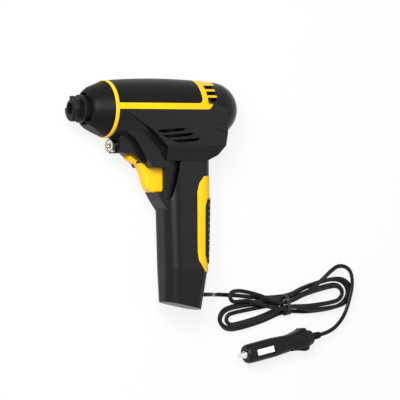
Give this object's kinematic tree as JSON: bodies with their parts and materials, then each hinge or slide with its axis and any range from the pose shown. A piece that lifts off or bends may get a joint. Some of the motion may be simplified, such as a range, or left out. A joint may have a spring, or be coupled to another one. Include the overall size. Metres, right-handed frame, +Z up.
{
  "type": "portable tire inflator",
  "caption": "Pistol-grip corded tire inflator with a bayonet air outlet, lamp, trigger, gear-driven piston pump and a tied power lead ending in a 12 V plug.",
  "frame": {"origin": "floor under the centre of the tool's box, the lead and plug not counted", "axes": "-X along the barrel out of the air outlet, +Y from the handle's end to the top of the barrel, +Z up from the table"},
  "size_m": [0.3605, 0.3003, 0.066],
  "materials": {
    "black_plastic": "satin moulded ABS",
    "yellow_plastic": "glossy moulded ABS",
    "yellow_rubber": "smooth overmoulded elastomer",
    "black_rubber": "soft rubber",
    "lead_jacket": "semi-gloss PVC jacket",
    "plug_plastic": "black moulded plug housing",
    "inner_plastic": "moulded nylon",
    "gear_plastic": "black acetal",
    "circuit": "glass epoxy board",
    "steel": "bright steel",
    "motor_steel": "zinc plated steel",
    "magnet": "ferrite",
    "brass": "machined brass",
    "aluminium": "cast aluminium",
    "nickel": "nickel plated",
    "fuse_glass": "glass fuse",
    "clear_lens": "clear polycarbonate",
    "reflector": "vacuum plated reflector",
    "led_yellow": "yellow phosphor"
  },
  "bodies": {
    "housing": {"air_outlet": "black_plastic", "air_tube": "aluminium", "cable_clamp": "inner_plastic", "casing_left": "black_plastic", "casing_right": "black_plastic", "casing_screws": "steel", "check_valve_spring": "steel", "circuit_board": "circuit", "cord_bush": "black_rubber", "cylinder": "aluminium", "cylinder_head": "aluminium", "gear_axle": "steel", "grip_inlay": "yellow_rubber", "grip_pad": "black_rubber", "hank_tie": "lead_jacket", "lamp_button_spring": "steel", "lamp_holder": "black_plastic", "lamp_lens": "clear_lens", "lamp_reflector": "reflector", "lamp_switch": "inner_plastic", "lead_hank": "lead_jacket", "lead_run": "lead_jacket", "lead_tail": "lead_jacket", "led_chip": "led_yellow", "motor_bushes": "brass", "motor_can": "motor_steel", "motor_end_cap": "inner_plastic", "motor_magnets": "magnet", "nose_cone": "black_plastic", "outlet_seal": "black_rubber", "plug_body": "plug_plastic", "plug_fuse": "fuse_glass", "plug_ring": "plug_plastic", "plug_strain_relief": "black_rubber", "plug_tip_spring": "steel", "pump_frame": "aluminium", "pump_screws": "steel", "reed_valve": "steel", "top_cover": "black_plastic", "trigger_spring": "steel", "trigger_switch": "inner_plastic", "trim_frame": "yellow_plastic", "trim_ring": "yellow_plastic", "valve_cap": "inner_plastic"},
    "trigger": {"trigger": "yellow_plastic"},
    "lamp_button": {"lamp_button": "yellow_plastic"},
    "rotor": {"motor_shaft": "steel", "armature": "motor_steel", "pinion": "brass", "cooling_fan": "inner_plastic"},
    "drive_gear": {"drive_gear": "gear_plastic"},
    "piston": {"piston": "aluminium", "piston_ring": "black_rubber", "wrist_pin": "steel"},
    "rod": {"connecting_rod": "aluminium", "crank_pin": "steel"},
    "check_ball": {"check_valve_ball": "brass"},
    "plug_tip": {"plug_tip": "nickel"},
    "contact_upper": {"plug_contact_upper": "nickel"},
    "contact_lower": {"plug_contact_lower": "nickel"}
  },
  "joints": [
    {"name": "trigger_squeeze", "type": "slide", "parent": "housing", "child": "trigger", "axis": [1, 0, 0], "range_m": [0, 0.005], "stiffness_N_per_m": 800, "springref_m": -0.001, "deforming": ["trigger_spring"]},
    {"name": "lamp_button_press", "type": "slide", "parent": "housing", "child": "lamp_button", "axis": [0.5708, 0.8211, -0.0075], "range_m": [0, 0.0014], "stiffness_N_per_m": 600, "springref_m": -0.001, "deforming": ["lamp_button_spring"]},
    {"name": "rotor_spin", "type": "hinge", "parent": "housing", "child": "rotor", "pos_m": [0.04405, 0.08881, 0.03269], "axis": [1, 0, 0], "continuous": true},
    {"name": "drive_gear_spin", "type": "hinge", "parent": "housing", "child": "drive_gear", "pos_m": [0.03305, 0.06665, 0.0329], "axis": [1, 0, 0], "continuous": true},
    {"name": "piston_stroke", "type": "slide", "parent": "housing", "child": "piston", "axis": [0, -1, 0.0092], "range_m": [0, 0.012]},
    {"name": "rod_swing", "type": "hinge", "parent": "piston", "child": "rod", "pos_m": [0.01805, 0.09665, 0.03262], "axis": [1, 0, 0], "range_deg": [-14.48, 14.48]},
    {"name": "check_ball_lift", "type": "slide", "parent": "housing", "child": "check_ball", "axis": [-1, 0, 0], "range_m": [0, 0.0015], "stiffness_N_per_m": 60, "springref_m": -0.001, "deforming": ["check_valve_spring"]},
    {"name": "plug_tip_press", "type": "slide", "parent": "housing", "child": "plug_tip", "axis": [0.9769, 0.2139, 0], "range_m": [0, 0.003], "stiffness_N_per_m": 500, "springref_m": -0.001, "deforming": ["plug_tip_spring"]},
    {"name": "contact_upper_press", "type": "slide", "parent": "housing", "child": "contact_upper", "axis": [0, 0, -1], "range_m": [0, 0.001], "stiffness_N_per_m": 600, "springref_m": -0.001},
    {"name": "contact_lower_press", "type": "slide", "parent": "housing", "child": "contact_lower", "axis": [0, 0, 1], "range_m": [0, 0.001], "stiffness_N_per_m": 600, "springref_m": -0.001}
  ],
  "couplings": [
    {"joint": "drive_gear_spin", "follows": "rotor_spin", "ratio": -0.375}
  ]
}
